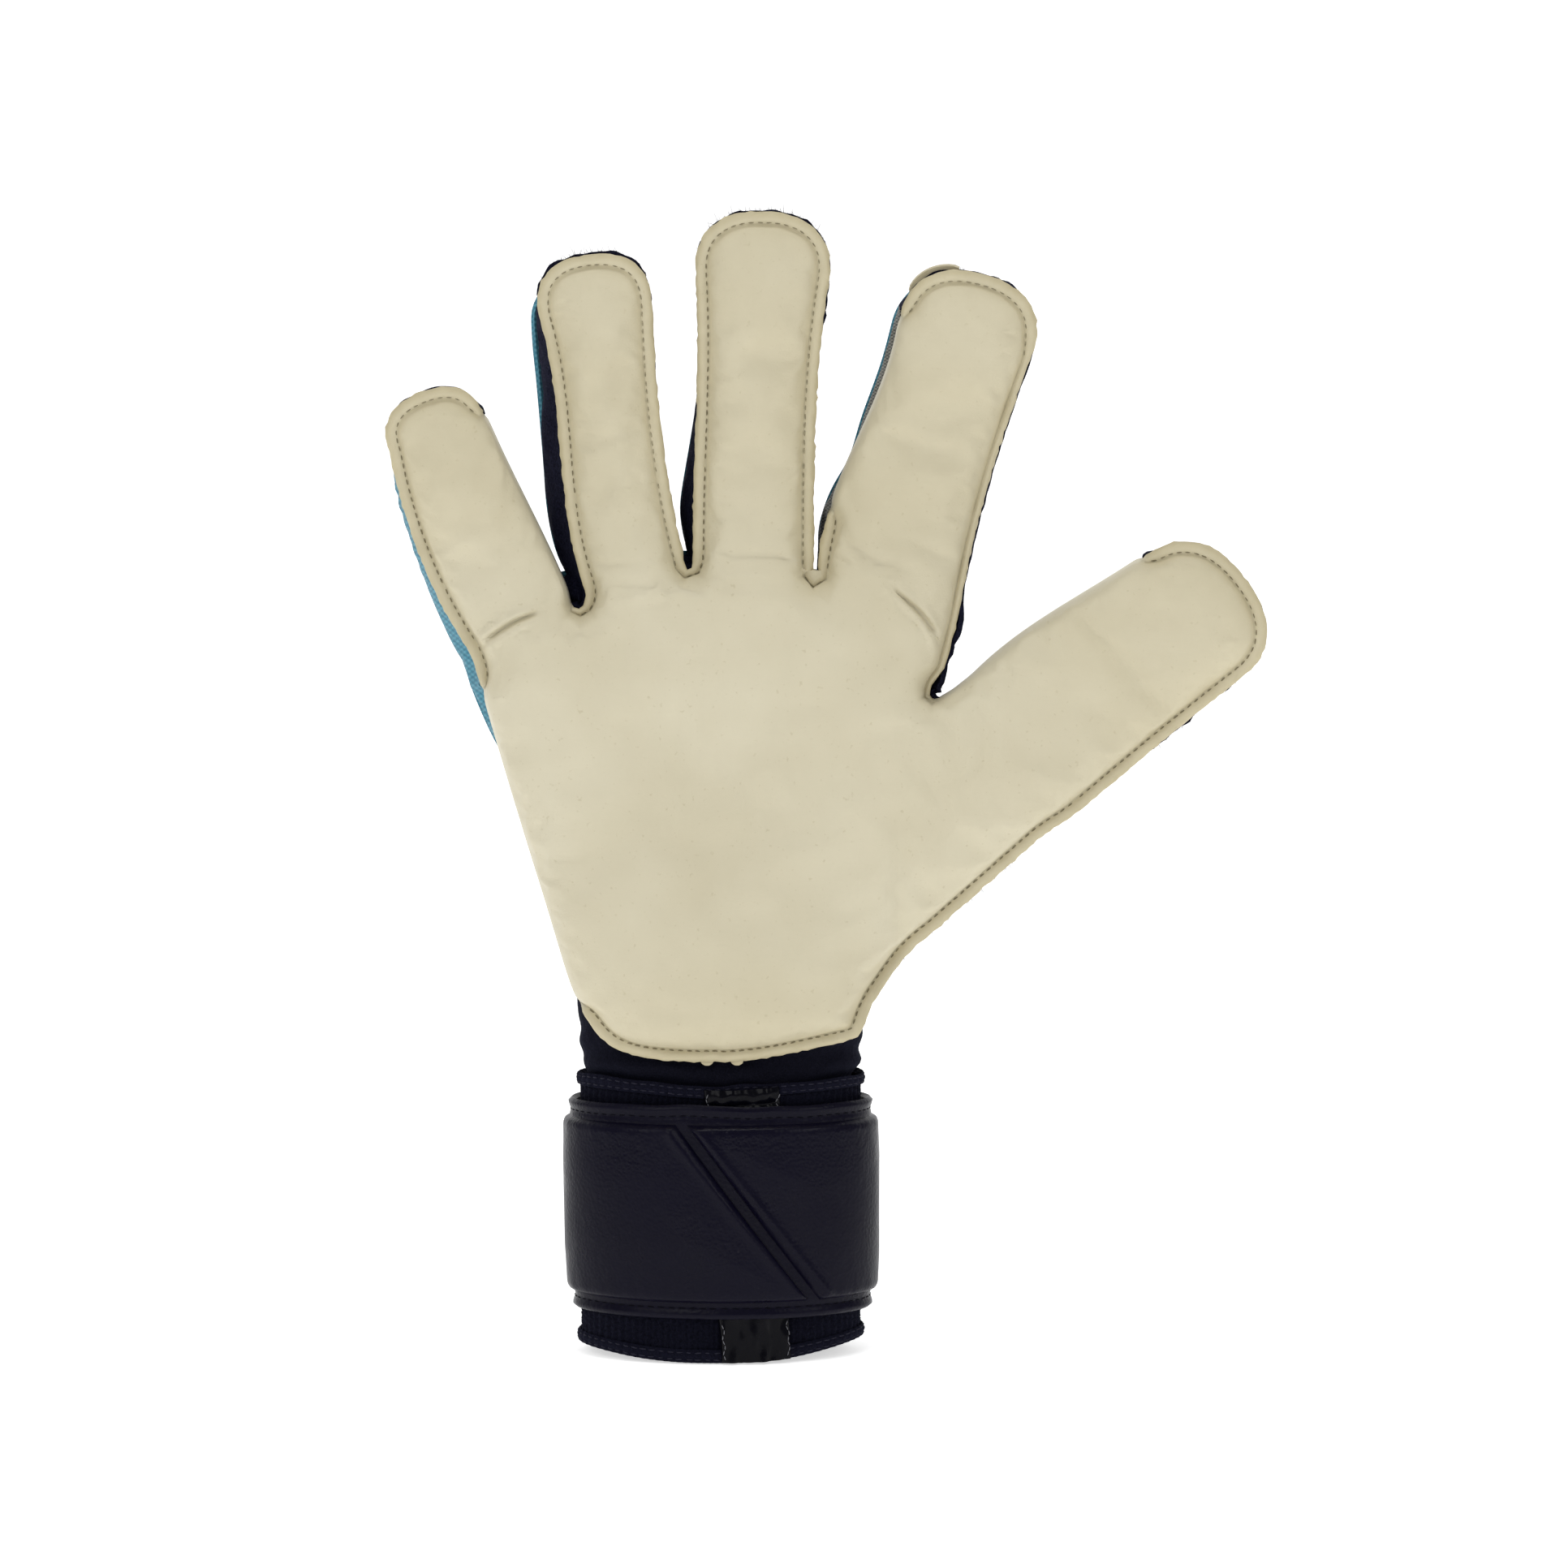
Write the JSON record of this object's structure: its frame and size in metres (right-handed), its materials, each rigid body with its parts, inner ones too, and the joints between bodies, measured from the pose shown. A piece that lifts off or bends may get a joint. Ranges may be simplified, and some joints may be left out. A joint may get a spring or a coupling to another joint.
{
  "type": "goalkeeper glove",
  "caption": "Right-hand goalkeeper glove with a padded latex palm, mesh gussets, articulated fingers and a hook-and-loop wrist strap.",
  "frame": {"origin": "centre of the wrist opening, at the lower edge of the cuff", "axes": "+Z from the wrist opening to the fingertips, palm towards -Y, back of the hand towards +Y, thumb towards +X"},
  "size_m": [0.2132, 0.0548, 0.2794],
  "materials": {
    "palm_latex": "soft matte latex foam with a fine open grain and a smooth skin",
    "foam_backing": "fine closed-cell foam",
    "backhand_knit": "bonded foam backhand with a light blue knitted face",
    "knuckle_pad": "moulded navy latex punch pad",
    "gusset_mesh": "navy brushed spacer mesh",
    "cuff_knit": "navy rib-knit elastic",
    "binding_tape": "folded and stitched elastic binding",
    "seam_strip": "glossy synthetic leather strip",
    "strap_leather": "navy grained synthetic leather with embossed padding",
    "loop_pile": "napped loop pile",
    "hook_tape": "moulded nylon hooks",
    "tab_rubber": "soft moulded pull tab"
  },
  "bodies": {
    "palm": {"backhand_panel": "backhand_knit", "cuff_band": "cuff_knit", "cuff_bottom_binding": "binding_tape", "cuff_seam_strip": "seam_strip", "cuff_top_binding": "binding_tape", "finger_webs": "gusset_mesh", "index_knuckle_crease": "palm_latex", "knuckle_pad": "knuckle_pad", "little_knuckle_crease": "palm_latex", "middle_knuckle_crease": "palm_latex", "outer_side_gusset": "gusset_mesh", "palm_foam": "foam_backing", "palm_latex": "palm_latex", "ring_knuckle_crease": "palm_latex", "strap_band": "strap_leather", "strap_loop_patch": "loop_pile", "strap_pad_outer": "strap_leather", "strap_pad_thumb": "strap_leather", "thumb_knuckle_crease": "palm_latex", "thumb_side_gusset": "gusset_mesh", "thumb_web_gusset": "gusset_mesh", "wrist_sleeve": "cuff_knit"},
    "little_base": {"little_base_back": "backhand_knit", "little_base_gussets": "gusset_mesh", "little_base_latex": "palm_latex", "little_middle_crease": "palm_latex"},
    "little_tip": {"little_tip_back": "backhand_knit", "little_tip_gusset": "gusset_mesh", "little_tip_latex": "palm_latex"},
    "ring_base": {"ring_base_back": "backhand_knit", "ring_base_gussets": "gusset_mesh", "ring_base_latex": "palm_latex", "ring_middle_crease": "palm_latex"},
    "ring_tip": {"ring_tip_back": "backhand_knit", "ring_tip_gusset": "gusset_mesh", "ring_tip_latex": "palm_latex"},
    "index_base": {"index_base_back": "backhand_knit", "index_base_gussets": "gusset_mesh", "index_base_latex": "palm_latex", "index_middle_crease": "palm_latex"},
    "index_tip": {"index_tip_back": "backhand_knit", "index_tip_gusset": "gusset_mesh", "index_tip_latex": "palm_latex"},
    "middle_base": {"middle_base_back": "backhand_knit", "middle_base_gussets": "gusset_mesh", "middle_base_latex": "palm_latex", "middle_middle_crease": "palm_latex"},
    "middle_tip": {"middle_tip_back": "backhand_knit", "middle_tip_gusset": "gusset_mesh", "middle_tip_latex": "palm_latex"},
    "thumb_base": {"thumb_base_back": "backhand_knit", "thumb_base_gussets": "gusset_mesh", "thumb_base_latex": "palm_latex", "thumb_middle_crease": "palm_latex"},
    "thumb_tip": {"thumb_tip_back": "backhand_knit", "thumb_tip_gusset": "gusset_mesh", "thumb_tip_latex": "palm_latex"},
    "strap_flap": {"strap_flap": "strap_leather", "strap_hook_patch": "hook_tape"},
    "pull_tab": {"strap_pull_tab": "tab_rubber"}
  },
  "joints": [
    {"name": "little_knuckle_flex", "type": "hinge", "parent": "palm", "child": "little_base", "pos_m": [-0.0472, -0.0035, 0.1768], "axis": [0.9934, 0, 0.1149], "range_deg": [-10, 75], "stiffness_Nm_per_rad": 0.25, "deforming": ["little_knuckle_crease"]},
    {"name": "little_middle_flex", "type": "hinge", "parent": "little_base", "child": "little_tip", "pos_m": [-0.05809, -0.00553, 0.20375], "axis": [0.9272, 0, 0.3746], "range_deg": [0, 85], "stiffness_Nm_per_rad": 0.15, "deforming": ["little_middle_crease"]},
    {"name": "ring_knuckle_flex", "type": "hinge", "parent": "palm", "child": "ring_base", "pos_m": [-0.02, -0.0035, 0.1844], "axis": [0.9994, 0, 0.034], "range_deg": [-10, 75], "stiffness_Nm_per_rad": 0.25, "deforming": ["ring_knuckle_crease"]},
    {"name": "ring_middle_flex", "type": "hinge", "parent": "ring_base", "child": "ring_tip", "pos_m": [-0.02443, -0.00624, 0.2233], "axis": [0.9936, 0, 0.1132], "range_deg": [0, 85], "stiffness_Nm_per_rad": 0.15, "deforming": ["ring_middle_crease"]},
    {"name": "index_knuckle_flex", "type": "hinge", "parent": "palm", "child": "index_base", "pos_m": [0.041, -0.0035, 0.1834], "axis": [0.9971, 0, -0.0758], "range_deg": [-10, 75], "stiffness_Nm_per_rad": 0.25, "deforming": ["index_knuckle_crease"]},
    {"name": "index_middle_flex", "type": "hinge", "parent": "index_base", "child": "index_tip", "pos_m": [0.05063, -0.00619, 0.22062], "axis": [0.9681, 0, -0.2504], "range_deg": [0, 85], "stiffness_Nm_per_rad": 0.15, "deforming": ["index_middle_crease"]},
    {"name": "middle_knuckle_flex", "type": "hinge", "parent": "palm", "child": "middle_base", "pos_m": [0.0089, -0.0035, 0.187], "axis": [1, 0, -0.0079], "range_deg": [-10, 75], "stiffness_Nm_per_rad": 0.25, "deforming": ["middle_knuckle_crease"]},
    {"name": "middle_middle_flex", "type": "hinge", "parent": "middle_base", "child": "middle_tip", "pos_m": [0.01001, -0.00647, 0.22942], "axis": [0.9997, 0, -0.0262], "range_deg": [0, 85], "stiffness_Nm_per_rad": 0.15, "deforming": ["middle_middle_crease"]},
    {"name": "thumb_base_flex", "type": "hinge", "parent": "palm", "child": "thumb_base", "pos_m": [0.0742, -0.0035, 0.1488], "axis": [0.6157, 0, -0.788], "range_deg": [-10, 45], "stiffness_Nm_per_rad": 0.25, "deforming": ["thumb_knuckle_crease"]},
    {"name": "thumb_tip_flex", "type": "hinge", "parent": "thumb_base", "child": "thumb_tip", "pos_m": [0.09858, -0.00566, 0.16785], "axis": [0.6157, 0, -0.788], "range_deg": [0, 65], "stiffness_Nm_per_rad": 0.15, "deforming": ["thumb_middle_crease"]},
    {"name": "strap_flap_open", "type": "hinge", "parent": "palm", "child": "strap_flap", "pos_m": [0.03176, 0.01611, 0.03675], "axis": [0, 0, -1], "range_deg": [0, 110]},
    {"name": "pull_tab_lift", "type": "hinge", "parent": "strap_flap", "child": "pull_tab", "pos_m": [-0.02495, 0.02071, 0.037], "axis": [0, 0, -1], "range_deg": [0, 60]}
  ]
}
